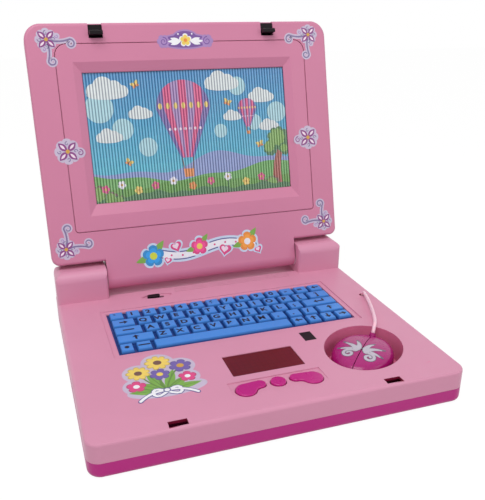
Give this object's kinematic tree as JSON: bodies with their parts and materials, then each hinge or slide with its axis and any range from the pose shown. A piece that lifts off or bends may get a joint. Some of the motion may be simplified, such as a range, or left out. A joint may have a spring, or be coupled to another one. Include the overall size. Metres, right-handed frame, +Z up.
{
  "type": "toy laptop computer",
  "caption": "Toy laptop with a hinged latching lid, ribbed picture screen, one-piece keyboard, buttons and a corded toy mouse in a well.",
  "frame": {"origin": "centre of the base's footprint, on the underside that rests on the table", "axes": "+Z up, the front edge with the buttons faces -Y, +X to the right of the user"},
  "size_m": [0.262, 0.2731, 0.2441],
  "materials": {
    "base_pink": "satin moulded plastic",
    "lid_pink": "satin moulded plastic",
    "magenta_shell": "satin moulded plastic",
    "magenta_gloss": "polished moulded plastic",
    "key_blue": "satin moulded plastic",
    "window_red": "dark tinted plastic",
    "black_plastic": "satin moulded plastic",
    "clear_sheet": "clear ribbed sheet",
    "printed_card": "printed card",
    "white_plastic": "plain moulded plastic",
    "steel": "bright steel",
    "brass": "plain brass",
    "board": "solder-masked board",
    "rubber": "soft rubber",
    "led": "clear tinted plastic",
    "cell": "wrapped metal can",
    "cord": "soft pale sleeve"
  },
  "bodies": {
    "base": {"base_top_shell": "base_pink", "mouse_well": "base_pink", "base_bottom_shell": "magenta_shell", "base_screws": "steel", "battery_door": "magenta_shell", "battery_door_screw": "steel", "battery_cells": "cell", "battery_contacts": "brass", "main_board": "board", "key_domes": "rubber", "front_board": "board", "button_domes": "rubber", "display_leds": "led", "display_window": "window_red", "status_lens": "black_plastic", "speaker": "black_plastic", "power_switch_body": "black_plastic", "right_hinge_pin": "steel", "left_hinge_pin": "steel", "hinge_washers": "brass", "cord_anchor": "white_plastic", "mouse_cord": "cord"},
    "lid": {"lid_front_shell": "lid_pink", "lid_back_shell": "lid_pink", "lid_screws": "steel", "screen_bezel": "lid_pink", "screen_lens": "clear_sheet", "picture_card": "printed_card", "screen_clamp": "white_plastic", "screen_screws": "steel", "latch_pins": "steel"},
    "left_latch": {"left_latch": "black_plastic"},
    "right_latch": {"right_latch": "black_plastic"},
    "keyboard": {"keyboard": "key_blue"},
    "left_button": {"left_button": "magenta_gloss"},
    "round_button": {"round_button": "magenta_gloss"},
    "right_button": {"right_button": "magenta_gloss"},
    "power_knob": {"power_knob": "black_plastic"},
    "mouse": {"mouse_tray": "magenta_gloss", "mouse_board": "board", "mouse_button_pin": "steel", "mouse_cord_boot": "cord"},
    "mouse_left_button": {"mouse_left_button": "magenta_gloss"},
    "mouse_right_button": {"mouse_right_button": "magenta_gloss"}
  },
  "joints": [
    {"name": "lid_hinge", "type": "hinge", "parent": "base", "child": "lid", "pos_m": [0, 0.0969, 0.0359], "axis": [-1, 0, 0], "range_deg": [-104.7, 15], "deforming": ["mouse_cord"]},
    {"name": "left_latch_release", "type": "hinge", "parent": "lid", "child": "left_latch", "pos_m": [-0.0747, 0.14659, 0.23439], "axis": [1, 0, 0], "range_deg": [0, 6], "stiffness_Nm_per_rad": 0.05, "springref_deg": -2.86},
    {"name": "right_latch_release", "type": "hinge", "parent": "lid", "child": "right_latch", "pos_m": [0.0747, 0.14659, 0.23439], "axis": [1, 0, 0], "range_deg": [0, 6], "stiffness_Nm_per_rad": 0.05, "springref_deg": -2.86},
    {"name": "keyboard_press", "type": "slide", "parent": "base", "child": "keyboard", "axis": [0, 0, -1], "range_m": [0, 0.0012], "stiffness_N_per_m": 1600, "springref_m": -0.0008},
    {"name": "left_button_press", "type": "slide", "parent": "base", "child": "left_button", "axis": [0, 0, -1], "range_m": [0, 0.0012], "stiffness_N_per_m": 400, "springref_m": -0.0005},
    {"name": "round_button_press", "type": "slide", "parent": "base", "child": "round_button", "axis": [0, 0, -1], "range_m": [0, 0.0012], "stiffness_N_per_m": 400, "springref_m": -0.0005},
    {"name": "right_button_press", "type": "slide", "parent": "base", "child": "right_button", "axis": [0, 0, -1], "range_m": [0, 0.0012], "stiffness_N_per_m": 400, "springref_m": -0.0005},
    {"name": "power_slide", "type": "slide", "parent": "base", "child": "power_knob", "axis": [1, 0, 0], "range_m": [0, 0.006]},
    {"name": "mouse_lift", "type": "slide", "parent": "base", "child": "mouse", "axis": [0, 0, 1], "range_m": [0, 0.03], "deforming": ["mouse_cord"]},
    {"name": "mouse_left_click", "type": "hinge", "parent": "mouse", "child": "mouse_left_button", "pos_m": [0.06487, -0.07363, 0.0119], "axis": [-0.7071, 0.7071, 0], "range_deg": [0, 2], "stiffness_Nm_per_rad": 0.1, "springref_deg": -3.44},
    {"name": "mouse_right_click", "type": "hinge", "parent": "mouse", "child": "mouse_right_button", "pos_m": [0.06487, -0.07363, 0.0119], "axis": [-0.7071, 0.7071, 0], "range_deg": [0, 2], "stiffness_Nm_per_rad": 0.1, "springref_deg": -3.44}
  ]
}
